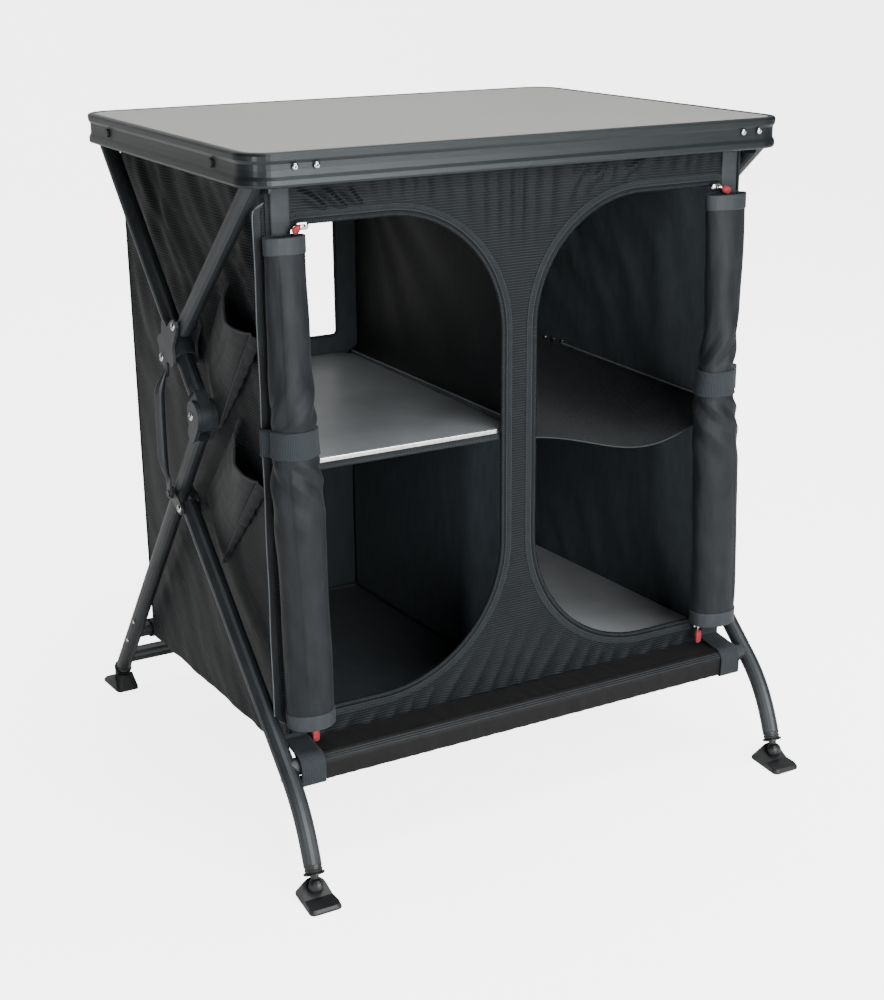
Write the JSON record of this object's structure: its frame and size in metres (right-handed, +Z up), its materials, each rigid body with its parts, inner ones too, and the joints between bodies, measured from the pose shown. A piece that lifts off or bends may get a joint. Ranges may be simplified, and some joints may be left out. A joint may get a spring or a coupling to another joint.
{
  "type": "camping cupboard",
  "caption": "Folding camping cupboard: laminate worktop on a scissor leg frame with riveted hubs and elbows, hanging cloth cabinet with shelves, doors rolled up beside arched doorways.",
  "frame": {"origin": "on the floor, under the middle of the table top", "axes": "+X to the right along the front, the front faces -Y, +Z up"},
  "size_m": [0.6742, 0.686, 0.78],
  "materials": {
    "grey_laminate": "matte laminate",
    "anthracite_rail": "satin anodised, dark",
    "anthracite_tube": "satin painted, dark",
    "pressed_steel": "satin painted, dark",
    "dark_moulding": "fine matte",
    "bright_trim": "bright",
    "ribbed_mesh_cloth": "coated mesh, fine ribs",
    "polyester_cloth": "smooth coated polyester",
    "red_tab": "woven tab",
    "grey_shelf": "satin",
    "grey_webbing": "woven"
  },
  "bodies": {
    "table": {"table_panel": "grey_laminate", "apron_rail": "anthracite_rail", "front_leg_bracket_left": "pressed_steel", "front_leg_bracket_right": "pressed_steel", "rear_leg_bracket_left": "pressed_steel", "rear_leg_bracket_right": "pressed_steel", "front_panel": "ribbed_mesh_cloth", "rear_panel": "ribbed_mesh_cloth", "side_panel_left": "ribbed_mesh_cloth", "side_panel_right": "ribbed_mesh_cloth", "floor_cloth": "ribbed_mesh_cloth", "divider": "ribbed_mesh_cloth", "shelf_sling": "ribbed_mesh_cloth", "mesh_shelf": "ribbed_mesh_cloth", "rolled_door_left": "polyester_cloth", "rolled_door_right": "polyester_cloth", "door_strap_left": "grey_webbing", "door_strap_right": "grey_webbing", "zip_pull_top_left": "red_tab", "zip_pull_top_right": "red_tab", "zip_pull_bottom_left": "red_tab", "zip_pull_bottom_right": "red_tab", "side_pocket_upper": "polyester_cloth", "side_pocket_lower": "polyester_cloth"},
    "front_upper_tubes": {"upper_front_tube_left": "anthracite_tube", "upper_front_tube_right": "anthracite_tube"},
    "hubs": {"hub_left": "dark_moulding", "hub_right": "dark_moulding"},
    "rear_upper_tubes": {"upper_rear_tube_left": "anthracite_tube", "upper_rear_tube_right": "anthracite_tube", "elbow_upper_left": "dark_moulding", "elbow_upper_right": "dark_moulding"},
    "rear_legs": {"elbow_lower_left": "dark_moulding", "elbow_lower_right": "dark_moulding", "rear_leg_tube_left": "anthracite_tube", "rear_leg_tube_right": "anthracite_tube", "lower_bracket_left": "pressed_steel", "lower_bracket_right": "pressed_steel", "foot_plug_rear_left": "dark_moulding", "foot_plug_rear_right": "dark_moulding", "rear_floor_tube": "anthracite_tube", "rear_cross_tube": "anthracite_tube"},
    "front_legs": {"front_leg_tube_left": "anthracite_tube", "front_leg_tube_right": "anthracite_tube", "foot_plug_front_left": "dark_moulding", "foot_plug_front_right": "dark_moulding", "front_cross_tube": "anthracite_tube"},
    "curved_links": {"curved_link_left": "pressed_steel", "curved_link_right": "pressed_steel"},
    "lock_button_left": {"lock_button_left": "red_tab"},
    "lock_button_right": {"lock_button_right": "red_tab"},
    "foot_pad_front_left": {"foot_pad_front_left": "dark_moulding"},
    "foot_pad_front_right": {"foot_pad_front_right": "dark_moulding"},
    "foot_pad_rear_left": {"foot_pad_rear_left": "dark_moulding"},
    "foot_pad_rear_right": {"foot_pad_rear_right": "dark_moulding"},
    "shelf": {"shelf_board": "grey_shelf", "shelf_edge_rail": "bright_trim"},
    "floor_board": {"floor_board": "grey_shelf"}
  },
  "joints": [
    {"name": "frame_fold", "type": "hinge", "parent": "table", "child": "front_upper_tubes", "pos_m": [0, -0.226, 0.75], "axis": [1, 0, 0], "range_deg": [0, 37.6], "deforming": ["front_panel", "rear_panel", "side_panel_left", "side_panel_right", "floor_cloth", "divider", "shelf_sling", "mesh_shelf", "rolled_door_left", "rolled_door_right", "door_strap_left", "door_strap_right", "zip_pull_top_left", "zip_pull_top_right", "zip_pull_bottom_left", "zip_pull_bottom_right", "side_pocket_upper", "side_pocket_lower"]},
    {"name": "hub_turn", "type": "hinge", "parent": "front_upper_tubes", "child": "hubs", "pos_m": [0, -0.01784, 0.56954], "axis": [1, 0, 0], "range_deg": [-64.6, 0]},
    {"name": "rear_tube_slide", "type": "slide", "parent": "hubs", "child": "rear_upper_tubes", "axis": [0, -0.712, -0.7022], "range_m": [0, 0.1296]},
    {"name": "elbow_fold", "type": "hinge", "parent": "rear_upper_tubes", "child": "rear_legs", "pos_m": [0, -0.05022, 0.47371], "axis": [1, 0, 0], "range_deg": [0, 86]},
    {"name": "front_leg_fold", "type": "hinge", "parent": "rear_legs", "child": "front_legs", "pos_m": [0, 0.00304, 0.35072], "axis": [1, 0, 0], "range_deg": [0, 78]},
    {"name": "link_turn", "type": "hinge", "parent": "hubs", "child": "curved_links", "pos_m": [0, 0.02499, 0.52611], "axis": [1, 0, 0], "range_deg": [-36, 0]},
    {"name": "shelf_rise", "type": "slide", "parent": "table", "child": "shelf", "axis": [0, 0, 1], "range_m": [0, 0.2681]},
    {"name": "floor_board_rise", "type": "slide", "parent": "table", "child": "floor_board", "axis": [0, 0, 1], "range_m": [0, 0.5451]},
    {"name": "lock_button_left_press", "type": "slide", "parent": "hubs", "child": "lock_button_left", "axis": [0, -0.7022, 0.712], "range_m": [0, 0.0025], "stiffness_N_per_m": 400, "springref_m": -0.001},
    {"name": "lock_button_right_press", "type": "slide", "parent": "hubs", "child": "lock_button_right", "axis": [0, -0.7022, 0.712], "range_m": [0, 0.0025], "stiffness_N_per_m": 400, "springref_m": -0.001},
    {"name": "foot_pad_front_left_swivel", "type": "hinge", "parent": "front_legs", "child": "foot_pad_front_left", "pos_m": [-0.312, -0.316, 0.0185], "axis": [1, 0, 0], "range_deg": [-15, 15]},
    {"name": "foot_pad_front_right_swivel", "type": "hinge", "parent": "front_legs", "child": "foot_pad_front_right", "pos_m": [0.312, -0.316, 0.0185], "axis": [1, 0, 0], "range_deg": [-15, 15]},
    {"name": "foot_pad_rear_left_swivel", "type": "hinge", "parent": "rear_legs", "child": "foot_pad_rear_left", "pos_m": [-0.312, 0.316, 0.0185], "axis": [1, 0, 0], "range_deg": [-15, 15]},
    {"name": "foot_pad_rear_right_swivel", "type": "hinge", "parent": "rear_legs", "child": "foot_pad_rear_right", "pos_m": [0.312, 0.316, 0.0185], "axis": [1, 0, 0], "range_deg": [-15, 15]}
  ],
  "couplings": [
    {"joint": "hub_turn", "follows": "frame_fold", "ratio": -1.7181},
    {"joint": "rear_tube_slide", "follows": "frame_fold", "m_per_rad": 0.19734},
    {"joint": "elbow_fold", "follows": "frame_fold", "ratio": 2.2872},
    {"joint": "front_leg_fold", "follows": "frame_fold", "ratio": 2.0745},
    {"joint": "link_turn", "follows": "frame_fold", "ratio": -0.95745},
    {"joint": "shelf_rise", "follows": "frame_fold", "m_per_rad": 0.40838},
    {"joint": "floor_board_rise", "follows": "frame_fold", "m_per_rad": 0.83048}
  ]
}
